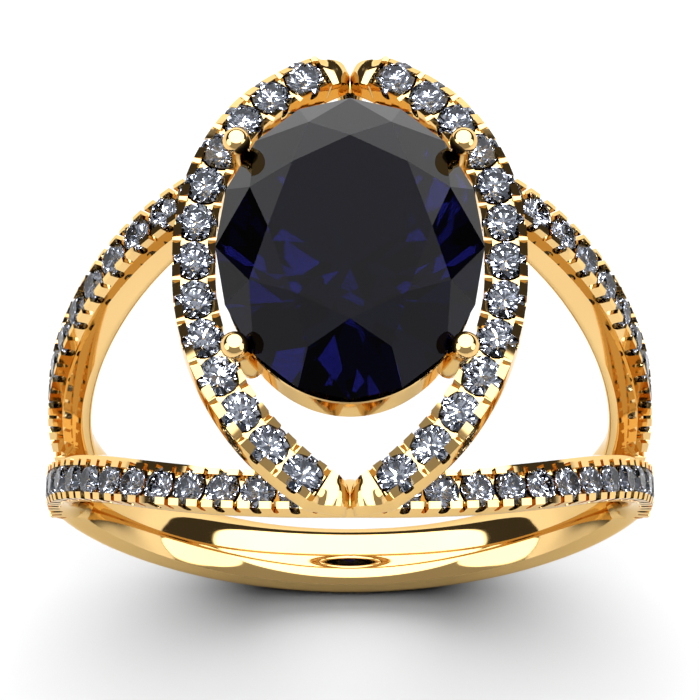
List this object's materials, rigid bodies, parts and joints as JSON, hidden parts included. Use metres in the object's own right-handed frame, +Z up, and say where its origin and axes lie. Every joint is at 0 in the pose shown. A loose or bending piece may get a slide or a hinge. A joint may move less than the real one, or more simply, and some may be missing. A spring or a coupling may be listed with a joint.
{
  "type": "engagement ring",
  "caption": "Split-shank yellow gold ring with an oval blue sapphire in ball-tipped prongs, an open almond-shaped pave halo and pave-set upper arches.",
  "frame": {"origin": "centre of the finger hole, midway between the front and rear arches", "axes": "+Z up towards the centre stone; Y along the finger, with the front arch at -Y; X across the ring"},
  "size_m": [0.0192, 0.015, 0.0255],
  "materials": {
    "gold": "polished",
    "diamond": "polished",
    "sapphire": "polished"
  },
  "bodies": {
    "root": {"arch_front_left": "gold", "arch_front_right": "gold", "arch_rear_left": "gold", "arch_rear_right": "gold", "bridge_front": "gold", "bridge_rear": "gold", "center_sapphire": "sapphire", "diamonds_front_left_1": "diamond", "diamonds_front_left_2": "diamond", "diamonds_front_left_3": "diamond", "diamonds_front_left_4": "diamond", "diamonds_front_right_1": "diamond", "diamonds_front_right_2": "diamond", "diamonds_front_right_3": "diamond", "diamonds_front_right_4": "diamond", "diamonds_rear_left_1": "diamond", "diamonds_rear_left_2": "diamond", "diamonds_rear_left_3": "diamond", "diamonds_rear_left_4": "diamond", "diamonds_rear_right_1": "diamond", "diamonds_rear_right_2": "diamond", "diamonds_rear_right_3": "diamond", "diamonds_rear_right_4": "diamond", "gallery_rail": "gold", "halo_diamond_left_1": "diamond", "halo_diamond_left_10": "diamond", "halo_diamond_left_11": "diamond", "halo_diamond_left_12": "diamond", "halo_diamond_left_13": "diamond", "halo_diamond_left_2": "diamond", "halo_diamond_left_3": "diamond", "halo_diamond_left_4": "diamond", "halo_diamond_left_5": "diamond", "halo_diamond_left_6": "diamond", "halo_diamond_left_7": "diamond", "halo_diamond_left_8": "diamond", "halo_diamond_left_9": "diamond", "halo_diamond_right_1": "diamond", "halo_diamond_right_10": "diamond", "halo_diamond_right_11": "diamond", "halo_diamond_right_12": "diamond", "halo_diamond_right_13": "diamond", "halo_diamond_right_2": "diamond", "halo_diamond_right_3": "diamond", "halo_diamond_right_4": "diamond", "halo_diamond_right_5": "diamond", "halo_diamond_right_6": "diamond", "halo_diamond_right_7": "diamond", "halo_diamond_right_8": "diamond", "halo_diamond_right_9": "diamond", "halo_left": "gold", "halo_right": "gold", "palm_band": "gold", "prong_front_left": "gold", "prong_front_right": "gold", "prong_rear_left": "gold", "prong_rear_right": "gold"}
  },
  "joints": []
}
